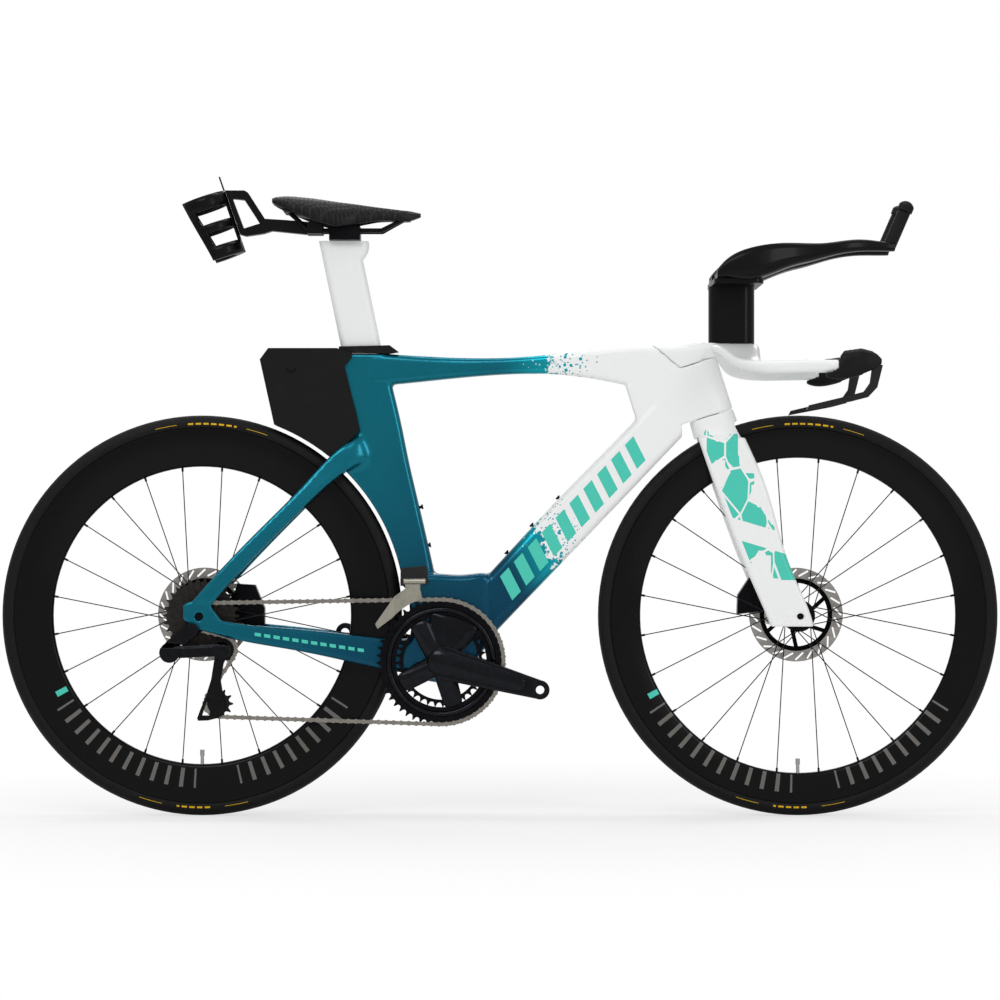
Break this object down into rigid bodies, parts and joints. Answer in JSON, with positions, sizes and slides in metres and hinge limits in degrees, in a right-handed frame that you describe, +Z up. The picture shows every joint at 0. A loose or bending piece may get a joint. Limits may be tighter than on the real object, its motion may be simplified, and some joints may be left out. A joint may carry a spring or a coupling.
{
  "type": "time_trial_bike",
  "caption": "Time trial bike with deep rims, aero extensions, rear bottle carrier and storage box, deep teal fading to pearl white",
  "frame": {"origin": "on the ground under the middle of the wheelbase, in the bike's mid-plane", "axes": "+X forward, +Y to the rider's left, +Z up; the chain is on the -Y side"},
  "size_m": [1.688, 0.4286, 1.0844],
  "materials": {
    "frame_paint": "gloss lacquer over carbon, deep teal fading to pearl white",
    "bare_aluminium": "satin machined",
    "satin_black_plastic": "satin moulded",
    "black_carbon": "satin black carbon",
    "black_rubber": "matte",
    "pad_foam": "soft foam with a cloth face",
    "saddle_skin": "fine grained synthetic cover",
    "tyre_rubber": "smooth tread, fine sidewall cloth",
    "black_alloy": "black anodised",
    "bright_steel": "brushed"
  },
  "bodies": {
    "frame": {"head_tube": "frame_paint", "top_tube": "frame_paint", "down_tube": "frame_paint", "seat_tube": "frame_paint", "bottom_bracket_shell": "frame_paint", "chainstays": "frame_paint", "seatstays": "frame_paint", "derailleur_hanger": "bare_aluminium", "frame_bearings": "bare_aluminium", "seat_clamp_cover": "satin_black_plastic", "storage_box": "satin_black_plastic", "cage_bolts": "bare_aluminium", "rear_thru_axle": "bare_aluminium", "rear_caliper": "black_alloy", "front_derailleur_body": "satin_black_plastic", "rear_derailleur_base": "satin_black_plastic", "chain": "bright_steel"},
    "storage_lid": {"storage_lid": "satin_black_plastic"},
    "front_derailleur": {"front_derailleur_cage": "black_alloy"},
    "rear_link": {"rear_derailleur_link": "satin_black_plastic"},
    "rear_knuckle": {"rear_derailleur_knuckle": "satin_black_plastic"},
    "rear_cage": {"rear_derailleur_cage": "satin_black_plastic"},
    "guide_wheel": {"guide_pulley": "satin_black_plastic"},
    "tension_wheel": {"tension_pulley": "satin_black_plastic"},
    "saddle_post": {"seatpost": "frame_paint", "saddle_clamp": "bare_aluminium", "saddle_rails": "bright_steel", "saddle_shell": "satin_black_plastic", "saddle_cover": "saddle_skin", "bottle_carrier": "satin_black_plastic", "bottle_cage": "satin_black_plastic"},
    "steering": {"fork": "frame_paint", "base_bar": "frame_paint", "armrest_riser": "black_carbon", "extensions": "black_carbon", "arm_pads": "pad_foam", "extension_grips": "black_rubber", "lever_bodies": "satin_black_plastic", "front_thru_axle": "bare_aluminium", "front_caliper": "black_alloy"},
    "right_lever": {"brake_lever_right": "satin_black_plastic"},
    "left_lever": {"brake_lever_left": "satin_black_plastic"},
    "right_button": {"shift_button_right": "black_rubber"},
    "left_button": {"shift_button_left": "black_rubber"},
    "front_wheel": {"front_tyre": "tyre_rubber", "front_rim": "black_carbon", "front_spokes": "bright_steel", "front_hub": "black_alloy", "front_rotor": "bright_steel", "front_valve": "black_alloy"},
    "rear_wheel": {"rear_tyre": "tyre_rubber", "rear_rim": "black_carbon", "rear_spokes": "bright_steel", "rear_hub": "black_alloy", "rear_rotor": "bright_steel", "rear_valve": "black_alloy"},
    "cassette": {"cassette": "bright_steel"},
    "crank": {"right_crank": "black_carbon", "left_crank": "black_carbon", "chainrings": "black_alloy"}
  },
  "joints": [
    {"name": "steering_turn", "type": "hinge", "parent": "frame", "child": "steering", "pos_m": [0.35142, 0, 0.67644], "axis": [-0.3007, 0, 0.9537], "range_deg": [-30, 30]},
    {"name": "front_wheel_spin", "type": "hinge", "parent": "steering", "child": "front_wheel", "pos_m": [0.505, 0, 0.339], "axis": [0, 1, 0], "continuous": true},
    {"name": "rear_wheel_spin", "type": "hinge", "parent": "frame", "child": "rear_wheel", "pos_m": [-0.505, 0, 0.339], "axis": [0, 1, 0], "continuous": true},
    {"name": "crank_spin", "type": "hinge", "parent": "frame", "child": "crank", "pos_m": [-0.099, 0, 0.262], "axis": [0, 1, 0], "continuous": true, "deforming": ["chain"]},
    {"name": "cassette_spin", "type": "hinge", "parent": "frame", "child": "cassette", "pos_m": [-0.505, 0, 0.339], "axis": [0, 1, 0], "continuous": true},
    {"name": "rear_shift", "type": "hinge", "parent": "frame", "child": "rear_link", "pos_m": [-0.55247, -0.084, 0.27941], "axis": [0, 0.7071, 0.7071], "range_deg": [0, 34], "deforming": ["chain"]},
    {"name": "rear_shift_knuckle", "type": "hinge", "parent": "rear_link", "child": "rear_knuckle", "pos_m": [-0.46561, -0.08804, 0.28345], "axis": [0, 0.7071, 0.7071], "range_deg": [-34, 0]},
    {"name": "cage_swing", "type": "hinge", "parent": "rear_knuckle", "child": "rear_cage", "pos_m": [-0.46561, -0.07, 0.28345], "axis": [0, 1, 0], "range_deg": [-30, 12], "stiffness_Nm_per_rad": 0.8, "deforming": ["chain"]},
    {"name": "guide_wheel_spin", "type": "hinge", "parent": "rear_cage", "child": "guide_wheel", "pos_m": [-0.46561, -0.0635, 0.28345], "axis": [0, 1, 0], "continuous": true},
    {"name": "tension_wheel_spin", "type": "hinge", "parent": "rear_cage", "child": "tension_wheel", "pos_m": [-0.47337, -0.0635, 0.19308], "axis": [0, 1, 0], "continuous": true},
    {"name": "front_shift", "type": "hinge", "parent": "frame", "child": "front_derailleur", "pos_m": [-0.14645, -0.05, 0.39758], "axis": [1, 0, 0], "range_deg": [0, 10]},
    {"name": "storage_lid_hinge", "type": "hinge", "parent": "frame", "child": "storage_lid", "pos_m": [-0.28078, 0, 0.78845], "axis": [0, 1, 0], "range_deg": [0, 60]},
    {"name": "seatpost_height", "type": "slide", "parent": "frame", "child": "saddle_post", "axis": [-0.2045, 0, 0.9789], "range_m": [-0.03, 0.03]},
    {"name": "right_brake", "type": "hinge", "parent": "steering", "child": "right_lever", "pos_m": [0.61812, -0.2, 0.75714], "axis": [0, 1, 0], "range_deg": [0, 18], "stiffness_Nm_per_rad": 2},
    {"name": "left_brake", "type": "hinge", "parent": "steering", "child": "left_lever", "pos_m": [0.61812, 0.2, 0.75714], "axis": [0, 1, 0], "range_deg": [0, 18], "stiffness_Nm_per_rad": 2},
    {"name": "right_button_press", "type": "slide", "parent": "steering", "child": "right_button", "axis": [-0.3976, 0, -0.9176], "range_m": [0, 0.0012], "stiffness_N_per_m": 900},
    {"name": "left_button_press", "type": "slide", "parent": "steering", "child": "left_button", "axis": [-0.3976, 0, -0.9176], "range_m": [0, 0.0012], "stiffness_N_per_m": 900}
  ],
  "couplings": [
    {"joint": "cassette_spin", "follows": "crank_spin", "ratio": 4.7273},
    {"joint": "guide_wheel_spin", "follows": "crank_spin", "ratio": -4.7273},
    {"joint": "tension_wheel_spin", "follows": "crank_spin", "ratio": 4.7273},
    {"joint": "rear_shift_knuckle", "follows": "rear_shift", "ratio": -1}
  ]
}
